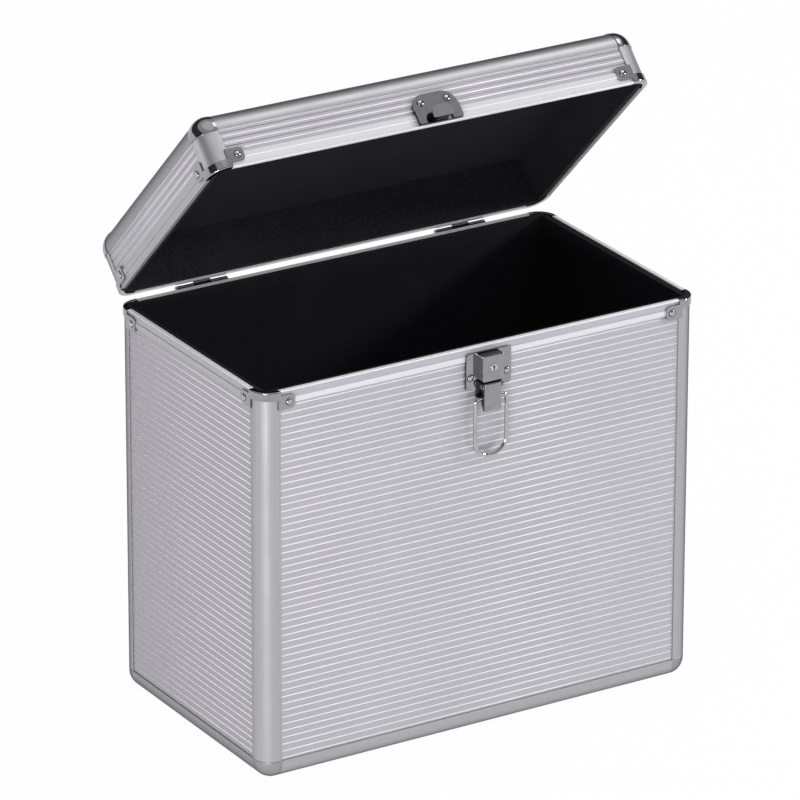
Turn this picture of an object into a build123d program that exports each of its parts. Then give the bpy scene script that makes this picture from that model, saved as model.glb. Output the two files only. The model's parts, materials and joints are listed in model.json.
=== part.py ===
"""Aluminium record carrying case, lid open: profiles, panels, rim braces, hinges, key latch and handle.

The origin is the centre of the footprint on the floor. X runs along the width, -Y is the front with the
latch, +Z is up. Every lid piece is described closed, then turned open about the hinge axis when written.
Walls are named front, right, rear and left, and each owns the corner at the start of its run.
"""
import os
from collections import namedtuple
from math import asin, atan2, degrees, hypot, radians, sin

from build123d import *

# ---- driving dimensions, millimetres ----
panel_width = 362.0  # between the outer faces of the left and right panels
panel_depth = 202.0  # between the outer faces of the front and rear panels
base_height = 300.0
lid_height = 45.0
parting_gap = 0.5
open_angle = 45.0  # how far the lid stands open at rest
widest_angle = 100.0  # how far the hinges let it open

wall = 5.0  # thickness of every panel
lining = 1.5
flange = 14.5  # width of a profile's flange over a panel
proud = 0.9  # how far the flanges stand out of the panels
corner_radius = 13.4  # outer rounding of the edge profiles
seat = corner_radius - proud  # where the panels end inside a profile
rib_pitch = 5.3
rib_width = 1.1
rib_height = 0.45
rib_inset = 0.3  # from a rib's end to the flange

rim_height = 10.4
rim_proud = 1.2
rim_bead = 1.3
rim_recess = 4.7
rim_recess_proud = 0.5
rim_lip = 2.1  # inner face of the lip, from the panel's outer face
rim_ledge = 2.5  # ledge below the lip, where the lining folds over
rim_cap = 4.0  # from the lip's edge to the panel's edge
edge_round = 0.5

base_first_rib = 12.5  # below the base's upper edge, front panel
side_rib_shift = 2.7  # the other base panels are cut this much lower
lid_first_rib = 13.8  # above the lid's lower edge

brace_proud = 2.1
brace_band = 6.5
brace_ear_end = 26.0
brace_ear_width = 10.8
brace_ear_drop = 8.6  # from the rim's edge to the ear's middle
brace_rivet = 21.0
rivet_radius = 2.4
rivet_rise = 1.1
shank_radius = 1.2
shank_clearance = 0.05
cap_extra = 0.7  # how far the lid's corner caps stand out of the profiles

hinge_out = 4.8  # axis behind the rear panel's face
hinge_drop = 2.5  # axis below the base's upper edge
hinge_inset = 71.0  # from a side panel's face to the middle of a hinge
hinge_width = 42.0
hinge_leaf = 25.0
hinge_plate = 1.3
knuckle_radius = 3.1
knuckle_middle = 14.0
knuckle_gap = 0.35
hinge_pin_radius = 1.5
pin_clearance = 0.05
hinge_rivet_x = 13.0
hinge_rivet_rows = (7.0, 19.0)  # from the axis, along the leaf
stop_reach = 6.5
stop_thickness = 1.4
running_gap = 0.3
step_room = 0.2  # between a rim's edge and the step in a plate that lies over it
floor_fit = 0.2  # around the thick middle of the bottom panel

latch_x = 4.0
latch_width = 37.3
latch_top = 4.4  # below the base's upper edge
latch_wing = 28.0  # height of the wide part of the plate
latch_tail = 8.0
latch_tail_width = 20.0
sheet = 1.2  # thickness of the pressed steel
lock_width = 18.0
lock_height = 20.2
lock_top = 5.2  # below the base's upper edge
lock_face = 9.6  # in front of the panel
plug_radius = 2.9
plug_length = 6.5
plug_drop = 15.2  # below the base's upper edge
plug_collar = 0.9  # how much wider the collar is that keeps the plug inside the box
plug_chamfer = 0.3
keyhole_radius = 0.9
keyhole_height = 3.4
keyhole_drop = 0.4  # middle of its slot, below the plug's middle
lever_width = 14.3
lever_height = 21.0
lever_top = 26.9  # below the base's upper edge
lever_face = 9.0
lever_wall = 1.2
lever_pin_drop = 2.6  # below the lever's upper edge
lever_pin_out = 6.2
lever_back = 3.5  # rear edge of the lever's flanges, in front of the panel
lever_foot = 2.2  # depth of the flanges at the lower end
lever_turn = 1.2  # rounding of the upper end
lever_foot_round = 0.9
latch_pin_radius = 1.25
bail_drop = 38.6  # pivot below the base's upper edge
bail_out = 5.6
bail_wire = 1.5  # radius
bail_half = 13.1  # from the middle to a leg's middle
bail_shoulder = 3.0  # bend at each leg's upper end
bail_turn = 11.5  # bends at the closing end
latch_rivet_x = 15.2
latch_rivet_drop = 22.6
plate_round = 2.5  # corners of the latch plate
lock_round = 1.6  # upright edges of the lock box
lock_face_round = 1.0  # edges around its front

keeper_width = 36.5
keeper_bottom = 1.4  # above the lid's lower edge
keeper_shoulder = 13.0
keeper_top = 24.0
hook_width = 17.5
hook_bottom = 1.9
hook_top = 11.3
hook_face = 9.4
hook_round = 6.0
hook_root = 9.0  # width where the hook springs from its plate
cheek_width = 8.7
cheek_face = 3.7
cheek_round = 1.5
keeper_rivet_x = 11.0
keeper_rivet_rise = 17.6

handle_half = 57.0  # from the middle to each bracket
handle_reach = 30.0  # from the pivot to the bar's middle
handle_bar = 20.0
handle_thickness = 12.0
handle_arm = 12.0
handle_pivot = 8.6  # above the lid's top panel
handle_pin_radius = 2.0
bracket_plate = 1.6
bracket_length = 32.0
bracket_width = 26.0
bracket_shift = 6.0  # outward from the arm's middle, for the rivets
bracket_ear_radius = 5.0
ear_gap = 0.4
ear_thickness = 2.0
bracket_rivet_y = 7.5
bracket_round = 3.0
grip_round = 4.0
grip_overlap = 2.0  # how far the grip's ears run into its bar

# ---- derived places ----
lid_bottom = base_height + parting_gap
lid_top = lid_bottom + lid_height
half_width = panel_width / 2
half_depth = panel_depth / 2
hinge_spacing = panel_width - 2 * hinge_inset
hinge_axis = Axis((0, half_depth + hinge_out, base_height - hinge_drop), (1, 0, 0))
latch_front = -half_depth  # outer face of the front panel
plate_back = rib_height + 0.05  # a plate's back where it lies on the ribs
plate_face = rim_proud + sheet  # front of the latch plate and the keeper plate
hook_play = 0.75  # between the raised bail's closing end and the hook's root
bail_reach = bail_drop + parting_gap + hook_bottom + sheet + hook_play + bail_wire

Wall = namedtuple("Wall", "inward run distance length")
walls = {
    "front": Wall(Vector(0, 1, 0), Vector(1, 0, 0), half_depth, panel_width),
    "right": Wall(Vector(-1, 0, 0), Vector(0, 1, 0), half_width, panel_depth),
    "rear": Wall(Vector(0, -1, 0), Vector(-1, 0, 0), half_depth, panel_width),
    "left": Wall(Vector(1, 0, 0), Vector(0, -1, 0), half_width, panel_depth),
}
corner_names = {"front": "front_left", "right": "front_right", "rear": "rear_right", "left": "rear_left"}


def section_plane(side, height, margin=0.0, down=False):
    """Plane across a wall's run: local x goes inward, local y goes up, or down where asked."""
    place = walls[side]
    start = place.length / 2 - margin
    run = place.run * -1 if down else place.run
    corner = place.inward * -place.distance + run * -start
    return Plane(origin=corner + Vector(0, 0, height), x_dir=place.inward, z_dir=run)


def corner_plane(side, height, down=False):
    """Plane at the corner where a wall starts: both local axes go along the walls, local z away from it."""
    place = walls[side]
    corner = place.inward * -place.distance + place.run * (-place.length / 2)
    x_dir = place.inward if down else place.run
    z_dir = Vector(0, 0, -1) if down else Vector(0, 0, 1)
    return Plane(origin=corner + Vector(0, 0, height), x_dir=x_dir, z_dir=z_dir)


def face_plane(out, height, x=0.0):
    """Plane parallel to the front panel, this far in front of it: local x goes right, local y goes up."""
    return Plane(origin=(x, latch_front - out, height), x_dir=(1, 0, 0), z_dir=(0, -1, 0))


def wall_spot(side, along, height):
    """Plane on a panel's outer face, this far along its run from the middle: local z points outward."""
    place = walls[side]
    spot = place.inward * -place.distance + place.run * along + Vector(0, 0, height)
    return Plane(origin=spot, x_dir=place.run, z_dir=place.inward * -1)


def brace_spots(side, edge, into):
    """The two brace rivets on a wall: edge is the rim's free edge, into is +1 upward or -1 downward."""
    reach = walls[side].length / 2 - brace_rivet
    height = edge + into * brace_ear_drop
    return [wall_spot(side, along, height) for along in (-reach, reach)]


def hinge_spots(into):
    """Rivets of both hinge leaves on the rear wall, above the axis for +1 and below it for -1."""
    axis_height = base_height - hinge_drop
    return [
        wall_spot("rear", middle + offset, axis_height + into * row)
        for middle in (-hinge_spacing / 2, hinge_spacing / 2)
        for offset in (-hinge_rivet_x, hinge_rivet_x)
        for row in hinge_rivet_rows
    ]


def front_spots(reach, height):
    """Two rivets on the front wall, this far either side of the latch's middle."""
    return [wall_spot("front", latch_x + x, height) for x in (-reach, reach)]


latch_spots = front_spots(latch_rivet_x, base_height - latch_rivet_drop)
keeper_spots = front_spots(keeper_rivet_x, lid_bottom + keeper_rivet_rise)
roof = Plane.XY.offset(lid_top - proud)  # outer face of the lid's top panel
handle_spots = [
    roof.location * Location((x, y, 0))
    for x in (-handle_half - bracket_length / 2, handle_half + bracket_length / 2)
    for y in (-bracket_rivet_y, bracket_rivet_y)
]
base_spots = {side: brace_spots(side, base_height, -1) for side in walls}
base_spots["front"] += latch_spots
base_spots["rear"] += hinge_spots(-1)
lid_spots = {side: brace_spots(side, lid_bottom, 1) for side in walls}
lid_spots["front"] += keeper_spots
lid_spots["rear"] += hinge_spots(1)


def drill(spots):
    """Cut a rivet hole right through the piece that is being built, at each spot."""
    with Locations(*spots):
        Cylinder(shank_radius + shank_clearance, 6 * wall, mode=Mode.SUBTRACT)


def rivet(out):
    """Rivet with a domed head: the panel's outer face is z = 0, and the head sits this far out."""
    with BuildPart() as piece:
        with BuildSketch(Plane.XZ):
            with BuildLine():
                Polyline((0, out + rivet_rise), (0, -wall), (shank_radius, -wall), (shank_radius, out))
                Line((shank_radius, out), (rivet_radius, out))
                TangentArc((0, out + rivet_rise), (rivet_radius, out), tangent=(1, 0))
            make_face()
        revolve(axis=Axis.Z)
    return piece.part


def rivets(spots, out):
    """The same rivet at every spot."""
    one = rivet(out)
    with BuildPart() as pieces:
        with Locations(*spots):
            add(one)
    return pieces.part


os.makedirs("parts", exist_ok=True)


def write(shape, node):
    """Label a piece of the base and write it."""
    shape.label = node
    export_step(shape, f"parts/{node}.step")


def write_open(shape, node):
    """Turn a piece of the lid open about the hinge axis, label it and write it."""
    write(shape.rotate(hinge_axis, -open_angle), node)


# ---- sections of the extrusions ----
def edge_section(outer=proud):
    """Edge profile: rounded outside, one flange over each of the two panels that meet in it."""
    radius = seat + outer
    turn = seat - radius * sin(radians(45))
    with BuildSketch() as section:
        with BuildLine():
            Polyline((flange, 0), (flange, -outer), (seat, -outer))
            ThreePointArc((seat, -outer), (turn, turn), (-outer, seat))
            Polyline((-outer, seat), (-outer, flange), (0, flange), (0, seat), (wall, seat), (wall, wall))
            Polyline((wall, wall), (seat, wall), (seat, 0), (flange, 0))
        make_face()
    return section.sketch


def rim_section():
    """Rim profile, its free edge at y = 0: a bead, a recess and a band outside, a lip and a ledge on top."""
    recess_top = -rim_bead
    recess_bottom = -rim_bead - rim_recess
    with BuildSketch() as section:
        with BuildLine():
            Polyline(
                (-rim_proud, 0), (rim_lip, 0), (rim_lip, -rim_ledge), (wall, -rim_ledge), (wall, -rim_cap),
                (0, -rim_cap), (0, -rim_height), (-rim_proud, -rim_height), (-rim_proud, recess_bottom),
                (-rim_recess_proud, recess_bottom), (-rim_recess_proud, recess_top), (-rim_proud, recess_top),
                close=True,
            )
        make_face()
        outer_corners = section.vertices().group_by(Axis.X)[0]
        fillet(outer_corners, edge_round)
    return section.sketch


def rib_section(heights):
    """Small raised ribs on the outer face of a panel, at these heights along local y."""
    with BuildSketch() as section:
        with Locations(*[(0, height) for height in heights]):
            Polygon(
                (0, -rib_width / 2), (0, rib_width / 2),
                (-rib_height, rib_width / 4), (-rib_height, -rib_width / 4),
                align=None,
            )
    return section.sketch


def rib_heights(first, lowest):
    """Heights one pitch apart, downward from the first to the lowest."""
    count = int((first - lowest) / rib_pitch) + 1
    return [first - rib_pitch * step for step in range(count)]


def ribbed_panel(side, bottom, top, ribs, spots):
    """A wall panel that ends inside its profiles, ribbed between the flanges and drilled at the spots."""
    slab_height = top - bottom
    with BuildPart() as panel:
        with BuildSketch(section_plane(side, (top + bottom) / 2, seat)):
            with Locations((wall / 2, 0)):
                Rectangle(wall, slab_height)
        extrude(amount=walls[side].length - 2 * seat)
        with BuildSketch(section_plane(side, 0, flange + rib_inset)):
            add(rib_section(ribs))
        extrude(amount=walls[side].length - 2 * (flange + rib_inset))
        drill(spots)
    return panel.part


# ---- panels of the base ----
base_panel_top = base_height - rim_cap
base_panel_bottom = proud + seat
base_flange_top = proud + flange

for side in walls:
    shift = 0.0 if side == "front" else side_rib_shift
    heights = rib_heights(base_height - base_first_rib - shift, base_flange_top + rib_width)
    panel = ribbed_panel(side, base_panel_bottom, base_panel_top, heights, base_spots[side])
    write(panel, f"base_panel_{side}")

# The bottom panel is rabbeted: its edge lies in the profiles, and its middle is flush with their flanges.
with BuildPart() as base_floor:
    with BuildSketch(Plane.XY.offset(proud)):
        Rectangle(panel_width - 2 * seat, panel_depth - 2 * seat)
    extrude(amount=wall)
    floor_inset = flange + floor_fit
    with BuildSketch(Plane.XY):
        Rectangle(panel_width - 2 * floor_inset, panel_depth - 2 * floor_inset)
    extrude(amount=proud)
write(base_floor.part, "base_panel_bottom")

# ---- panels of the lid ----
lid_panel_low = lid_bottom + rim_cap
lid_panel_high = lid_top - proud - seat
lid_ribs = [lid_bottom + lid_first_rib + rib_pitch * step for step in range(3)]

for side in walls:
    panel = ribbed_panel(side, lid_panel_low, lid_panel_high, lid_ribs, lid_spots[side])
    write_open(panel, f"lid_panel_{side}")

top_rib_run = panel_depth - 2 * (flange + rib_inset) - rib_pitch
top_rib_count = int(top_rib_run / rib_pitch) + 1
with BuildPart() as lid_roof:
    with BuildSketch(Plane.XY.offset(lid_top - proud - wall)):
        Rectangle(panel_width - 2 * seat, panel_depth - 2 * seat)
    extrude(amount=wall)
    first_top_rib = rib_pitch * (top_rib_count - 1) / 2
    rib_end = flange + rib_inset - half_width
    with BuildSketch(Plane((rib_end, 0, lid_top - proud), (0, 0, -1), (1, 0, 0))):
        add(rib_section([first_top_rib - rib_pitch * step for step in range(top_rib_count)]))
    extrude(amount=panel_width - 2 * (flange + rib_inset))
    drill(handle_spots)
write_open(lid_roof.part, "lid_panel_top")


# ---- edge profiles ----
def edge_profile(side, height, down=False):
    """A horizontal edge profile along one wall, between two corner pieces."""
    with BuildPart() as profile:
        with BuildSketch(section_plane(side, height, flange, down)):
            add(edge_section())
        extrude(amount=walls[side].length - 2 * flange)
    return profile.part


def post(side, bottom, top):
    """A vertical corner profile."""
    with BuildPart() as profile:
        with BuildSketch(corner_plane(side, bottom)):
            add(edge_section())
        extrude(amount=top - bottom)
    return profile.part


for side in walls:
    write(edge_profile(side, proud), f"base_edge_{side}")
    write_open(edge_profile(side, lid_top - proud, down=True), f"lid_edge_{side}")
    write(post(side, base_flange_top, base_height - brace_band), f"base_corner_{corner_names[side]}")

with BuildPart() as lid_corners:
    for side in walls:
        with BuildSketch(corner_plane(side, lid_bottom + brace_band)):
            add(edge_section())
        extrude(amount=lid_height - brace_band - flange - proud)
write_open(lid_corners.part, "lid_corner_profiles")


# ---- rims ----
def rim(side, height, spots, down=False):
    """A rim profile along one wall, between two corner braces, with rivet holes at the spots."""
    with BuildPart() as profile:
        with BuildSketch(section_plane(side, height, flange, down)):
            add(rim_section())
        extrude(amount=walls[side].length - 2 * flange)
        drill(spots)
    return profile.part


for side in walls:
    write(rim(side, base_height, base_spots[side]), f"base_rim_{side}")
    write_open(rim(side, lid_bottom, lid_spots[side], down=True), f"lid_rim_{side}")


# ---- corner pieces where three profiles meet ----
def corner_piece(outer):
    """Rounded corner whose outer faces stand this far out of the three panels, in a corner's own axes."""
    reach = flange + outer
    middle = flange - reach / 2
    panel_run = flange - seat
    slot = (flange + seat) / 2
    with BuildPart() as piece:
        with Locations((middle, middle, middle)):
            Box(reach, reach, reach)
        far_corner = piece.vertices().sort_by_distance((-outer, -outer, -outer))[0]
        outer_edges = [edge for edge in piece.edges() if far_corner in edge.vertices()]
        fillet(outer_edges, seat + outer)
        hollow = (flange + wall) / 2
        with Locations((hollow, hollow, hollow)):
            Box(flange - wall, flange - wall, flange - wall, mode=Mode.SUBTRACT)
        with Locations((slot, slot, wall / 2)):
            Box(panel_run, panel_run, wall, mode=Mode.SUBTRACT)
        with Locations((slot, wall / 2, slot)):
            Box(panel_run, wall, panel_run, mode=Mode.SUBTRACT)
        with Locations((wall / 2, slot, slot)):
            Box(wall, panel_run, panel_run, mode=Mode.SUBTRACT)
    return piece.part


base_corner_piece = corner_piece(proud)
with BuildPart() as base_bottom_corners:
    with Locations(*[corner_plane(side, proud) for side in walls]):
        add(base_corner_piece)
write(base_bottom_corners.part, "base_bottom_corners")

lid_corner_piece = corner_piece(proud + cap_extra)
with BuildPart() as lid_top_caps:
    with Locations(*[corner_plane(side, lid_top - proud, down=True) for side in walls]):
        add(lid_corner_piece)
write_open(lid_top_caps.part, "lid_top_caps")


# ---- braces that join the rims at their corners ----
def brace():
    """Chromed brace in a corner's own axes, its free edge at z = 0, with a riveted ear along each wall."""
    ear_middle = brace_ear_end - brace_ear_width / 2
    lip_turn = seat - (seat - rim_lip) * sin(radians(45))
    panel_end = (seat + flange) / 2
    with BuildPart() as piece:
        with BuildSketch(Plane.XY.offset(-brace_band)):
            add(edge_section(brace_proud))
        extrude(amount=brace_band)
        with BuildSketch(Plane.XY.offset(-rim_cap)):
            with Locations(Location((panel_end, wall / 2)), Location((wall / 2, panel_end), 90)):
                Rectangle(flange - seat, wall)
        extrude(amount=rim_cap)
        with BuildSketch(Plane.XY.offset(-rim_ledge)):
            with BuildLine():
                Polyline((flange, rim_lip), (seat, rim_lip))
                ThreePointArc((seat, rim_lip), (lip_turn, lip_turn), (rim_lip, seat))
                Polyline((rim_lip, seat), (rim_lip, flange), (flange, flange), (flange, rim_lip))
            make_face()
        extrude(amount=rim_ledge, mode=Mode.SUBTRACT)
        with BuildSketch(Plane(origin=(0, -rim_proud, -brace_ear_drop), x_dir=(1, 0, 0), z_dir=(0, -1, 0))):
            with Locations(((seat + ear_middle) / 2, 0)):
                Rectangle(ear_middle - seat, brace_ear_width)
            with Locations((ear_middle, 0)):
                Circle(brace_ear_width / 2)
        extrude(amount=brace_proud - rim_proud)
        with Locations(Plane(origin=(brace_rivet, 0, -brace_ear_drop), z_dir=(0, 1, 0))):
            Cylinder(shank_radius + shank_clearance, 6 * wall, mode=Mode.SUBTRACT)
        mirror(about=Plane(origin=(0, 0, 0), z_dir=(1, -1, 0)))
    return piece.part


corner_brace = brace()
with BuildPart() as base_braces:
    with Locations(*[corner_plane(side, base_height) for side in walls]):
        add(corner_brace)
write(base_braces.part, "base_braces")

with BuildPart() as lid_braces:
    with Locations(*[corner_plane(side, lid_bottom, down=True) for side in walls]):
        add(corner_brace)
write_open(lid_braces.part, "lid_braces")

base_brace_spots = [spot for side in walls for spot in brace_spots(side, base_height, -1)]
lid_brace_spots = [spot for side in walls for spot in brace_spots(side, lid_bottom, 1)]
write(rivets(base_brace_spots, brace_proud), "base_brace_rivets")
write_open(rivets(lid_brace_spots, brace_proud), "lid_brace_rivets")


# ---- linings ----
def lining_body(closed_end, open_end, flap_edge):
    """Lining on four walls and on the closed end, folded over the rim's ledge at the open end."""
    inner_width = panel_width - 2 * (wall + lining)
    inner_depth = panel_depth - 2 * (wall + lining)
    into = 1 if open_end > closed_end else -1
    flap_inset = rim_lip + shank_clearance
    with BuildPart() as piece:
        with BuildSketch(Plane.XY.offset(closed_end)):
            Rectangle(panel_width - 2 * wall, panel_depth - 2 * wall)
        extrude(amount=open_end - closed_end)
        with BuildSketch(Plane.XY.offset(open_end)):
            RectangleRounded(panel_width - 2 * flap_inset, panel_depth - 2 * flap_inset, seat - flap_inset)
        extrude(amount=flap_edge - open_end)
        with BuildSketch(Plane.XY.offset(closed_end + into * lining)):
            Rectangle(inner_width, inner_depth)
        extrude(amount=flap_edge - closed_end, mode=Mode.SUBTRACT)
    return piece.part


base_ledge = base_height - rim_ledge
write(lining_body(proud + wall, base_ledge, base_ledge + lining), "base_lining")
lid_ledge = lid_bottom + rim_ledge
write_open(lining_body(lid_top - proud - wall, lid_ledge, lid_ledge - lining), "lid_lining")


# ---- hinges: two leaves with interleaved knuckles, a pin, and a stop lug on the lid leaf ----
axis_height = base_height - hinge_drop
hinge_face = rim_proud + hinge_plate  # outer face of the leaves, behind the rear panel
# Plane across the rear wall at the axis's height: local x goes backward, local y goes up.
rear_side = Plane((0, half_depth, axis_height), (0, 1, 0), (1, 0, 0))
hinge_places = {"left": -hinge_spacing / 2, "right": hinge_spacing / 2}
side_knuckle = (hinge_width - knuckle_middle) / 2 - knuckle_gap
side_middle = knuckle_middle / 2 + knuckle_gap + side_knuckle / 2
lid_edge_rise = hinge_drop + parting_gap
stop_room = hinge_out - hinge_face - running_gap
stop_half = stop_thickness / 2
stop_lean = degrees(asin(stop_room / hypot(stop_reach, stop_half)) - atan2(stop_half, stop_reach))
stop_angle = widest_angle - 90 - stop_lean  # the lug's direction with the lid closed, up from straight back


def barrel(middle, length, radius):
    """Cylinder about the hinge axis."""
    with BuildPart() as piece:
        with BuildSketch(rear_side.offset(middle - length / 2)):
            with Locations((hinge_out, 0)):
                Circle(radius)
        extrude(amount=length)
    return piece.part


def leaf_strip(outline, middle):
    """Leaf bent to this outline, full width."""
    with BuildPart() as piece:
        with BuildSketch(rear_side.offset(middle - hinge_width / 2)):
            with BuildLine():
                Polyline(*outline, close=True)
            make_face()
        extrude(amount=hinge_width)
    return piece.part


def knuckle_room(middle, width, low, high):
    """Room for the other leaf's knuckle, between two heights above the axis."""
    with Locations((middle, half_depth + hinge_out / 2, axis_height + (low + high) / 2)):
        Box(width, 3 * hinge_out, high - low, mode=Mode.SUBTRACT)


def base_leaf(x):
    """Leaf riveted to the base, a knuckle at each side, stepped back below the rim to lie on the ribs."""
    step = hinge_drop - rim_height - step_room
    outline = (
        (rim_proud, 0), (hinge_face, 0), (hinge_face, -hinge_leaf),
        (plate_back, -hinge_leaf), (plate_back, step), (rim_proud, step),
    )
    with BuildPart() as leaf:
        add(leaf_strip(outline, x))
        for middle in (x - side_middle, x + side_middle):
            add(barrel(middle, side_knuckle, knuckle_radius))
        knuckle_room(x, knuckle_middle + 2 * knuckle_gap, -knuckle_radius - running_gap, 2 * knuckle_radius)
        add(barrel(x, 2 * hinge_width, hinge_pin_radius + pin_clearance), mode=Mode.SUBTRACT)
        drill(hinge_spots(-1))
    return leaf.part


def stop_lug(x):
    """Lug on the lid leaf's knuckle that meets the base leaf when the lid is fully open."""
    lug_width = knuckle_middle - 2 * running_gap
    with BuildPart() as lug:
        with BuildSketch(rear_side.offset(x - lug_width / 2)):
            with Locations(Location((hinge_out, 0), stop_angle)):
                Rectangle(stop_reach, stop_thickness, align=(Align.MIN, Align.CENTER))
        extrude(amount=lug_width)
    return lug.part


def lid_leaf(x):
    """Leaf riveted to the lid, one knuckle between the base leaf's two, with its stop lug."""
    clear_face = rim_proud + running_gap
    step = lid_edge_rise + rim_height + step_room
    end = hinge_leaf + parting_gap
    outline = (
        (clear_face, 0), (hinge_face, 0), (hinge_face, end), (plate_back, end), (plate_back, step),
        (rim_proud, step), (rim_proud, lid_edge_rise), (clear_face, lid_edge_rise),
    )
    with BuildPart() as leaf:
        add(leaf_strip(outline, x))
        room = side_knuckle + 2 * knuckle_gap
        for middle in (x - side_middle, x + side_middle):
            knuckle_room(middle, room, -knuckle_radius, knuckle_radius + running_gap)
        add(barrel(x, knuckle_middle, knuckle_radius))
        add(stop_lug(x))
        add(barrel(x, 2 * hinge_width, hinge_pin_radius + pin_clearance), mode=Mode.SUBTRACT)
        drill(hinge_spots(1))
    return leaf.part


pin_head = 0.8
pin_head_radius = hinge_pin_radius + 0.7
for name, x in hinge_places.items():
    write(base_leaf(x), f"hinge_{name}_base_leaf")
    write_open(lid_leaf(x), f"hinge_{name}_lid_leaf")

with BuildPart() as hinge_pins:
    for x in hinge_places.values():
        add(barrel(x, hinge_width, hinge_pin_radius))
        for end in (-1, 1):
            add(barrel(x + end * (hinge_width + pin_head) / 2, pin_head, pin_head_radius))
write(hinge_pins.part, "hinge_pins")
write(rivets(hinge_spots(-1), hinge_face), "hinge_base_rivets")
write_open(rivets(hinge_spots(1), hinge_face), "hinge_lid_rivets")

# ---- latch on the base ----
latch_side = Plane((latch_x, latch_front, 0), (0, -1, 0), (-1, 0, 0))  # local x outward, local y up
lever_pin_level = base_height - lever_top - lever_pin_drop
bail_level = base_height - bail_drop
lock_middle = base_height - lock_top - lock_height / 2
plug_level = base_height - plug_drop
cheek_middle = lever_width / 2 + running_gap + sheet / 2
lever_bore = latch_pin_radius + pin_clearance


def across(width, out, level, radius):
    """Cylinder along X about the latch's middle, at this distance out and this height."""
    with BuildPart() as piece:
        with BuildSketch(latch_side.offset(-width / 2)):
            with Locations((out, level)):
                Circle(radius)
        extrude(amount=width)
    return piece.part


def over_rim(edge, into):
    """Room for a rim behind a front plate, measured from the rim's free edge."""
    deep = rim_height + step_room
    with Locations((latch_x, latch_front - rim_proud / 2, edge + into * deep / 2)):
        Box(2 * latch_width, rim_proud, deep, mode=Mode.SUBTRACT)


with BuildPart() as latch_plate:
    with BuildSketch(face_plane(plate_back, base_height - latch_top, latch_x)) as plate_outline:
        with Locations((0, -latch_wing / 2)):
            Rectangle(latch_width, latch_wing)
        fillet(plate_outline.vertices(), plate_round)
        with Locations((0, -latch_wing)):
            Rectangle(latch_tail_width, 2 * latch_tail)
        fillet(plate_outline.vertices().group_by(Axis.Y)[0], plate_round)
    extrude(amount=plate_face - plate_back)
    over_rim(base_height, -1)
    for x in (-cheek_middle, cheek_middle):
        with BuildSketch(latch_side.offset(-x - sheet / 2)):
            with Locations((lever_pin_out, lever_pin_level)):
                Circle(lever_pin_drop)
            with Locations(((plate_face + lever_pin_out) / 2, lever_pin_level)):
                Rectangle(lever_pin_out - plate_face, 2 * lever_pin_drop)
        extrude(amount=sheet)
    add(across(latch_width, lever_pin_out, lever_pin_level, latch_pin_radius), mode=Mode.SUBTRACT)
    drill(latch_spots)
write(latch_plate.part, "latch_plate")

with BuildPart() as latch_lever_pin:
    pin_length = 2 * (cheek_middle + sheet / 2)
    add(across(pin_length, lever_pin_out, lever_pin_level, latch_pin_radius))
write(latch_lever_pin.part, "latch_lever_pin")
write(rivets(latch_spots, plate_face), "latch_rivets")

with BuildPart() as lock_box:
    with BuildSketch(face_plane(plate_face, lock_middle, latch_x)):
        Rectangle(lock_width, lock_height)
    extrude(amount=lock_face - plate_face)
    fillet(lock_box.edges().filter_by(Axis.Y), lock_round)
    fillet(lock_box.faces().sort_by(Axis.Y)[0].edges(), lock_face_round)
    with BuildSketch(face_plane(plate_face, lock_middle, latch_x)):
        RectangleRounded(lock_width - 2 * sheet, lock_height - 2 * sheet, lock_face_round)
    extrude(amount=lock_face - plate_face - sheet, mode=Mode.SUBTRACT)
    with Locations(face_plane(lock_face, plug_level, latch_x)):
        Cylinder(plug_radius + pin_clearance, 4 * sheet, mode=Mode.SUBTRACT)
write(lock_box.part, "latch_lock_box")

with BuildPart() as key_plug:
    with BuildSketch(face_plane(lock_face - plug_length, plug_level, latch_x)):
        Circle(plug_radius)
    extrude(amount=plug_length + sheet / 3)
    chamfer(key_plug.faces().sort_by(Axis.Y)[0].edges(), plug_chamfer)
    with BuildSketch(face_plane(lock_face - 2 * sheet - running_gap, plug_level, latch_x)):
        Circle(plug_radius + plug_collar)
    extrude(amount=sheet)
    with BuildSketch(face_plane(lock_face + sheet / 3, plug_level, latch_x)):
        with Locations((0, -keyhole_drop)):
            Rectangle(keyhole_radius, keyhole_height)
        with Locations((0, keyhole_radius)):
            Circle(keyhole_radius)
    extrude(amount=-plug_length * 0.7, mode=Mode.SUBTRACT)
write(key_plug.part, "latch_key_plug")

lever_bottom = base_height - lever_top - lever_height
with BuildPart() as latch_lever:
    with BuildSketch(latch_side.offset(-lever_width / 2)) as lever_sketch:
        with BuildLine():
            Polyline(
                (lever_back, base_height - lever_top), (lever_face, base_height - lever_top),
                (lever_face, lever_bottom), (lever_face - lever_foot, lever_bottom),
                (lever_back, bail_level - lever_pin_drop), close=True,
            )
        make_face()
        fillet(lever_sketch.vertices().sort_by(Axis.Y)[-2:], lever_turn)
    extrude(amount=lever_width)
    fillet(latch_lever.faces().sort_by(Axis.Y)[0].edges().filter_by(Axis.Z), lever_foot_round)
    with BuildSketch(latch_side.offset(lever_wall - lever_width / 2)):
        with Locations((0, (lever_bottom + base_height) / 2)):
            Rectangle(2 * (lever_face - lever_wall), base_height - lever_bottom)
    extrude(amount=lever_width - 2 * lever_wall, mode=Mode.SUBTRACT)
    add(across(2 * lever_width, lever_pin_out, lever_pin_level, lever_bore), mode=Mode.SUBTRACT)
    add(across(2 * lever_width, bail_out, bail_level, bail_wire + pin_clearance), mode=Mode.SUBTRACT)
write(latch_lever.part, "latch_lever")

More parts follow.
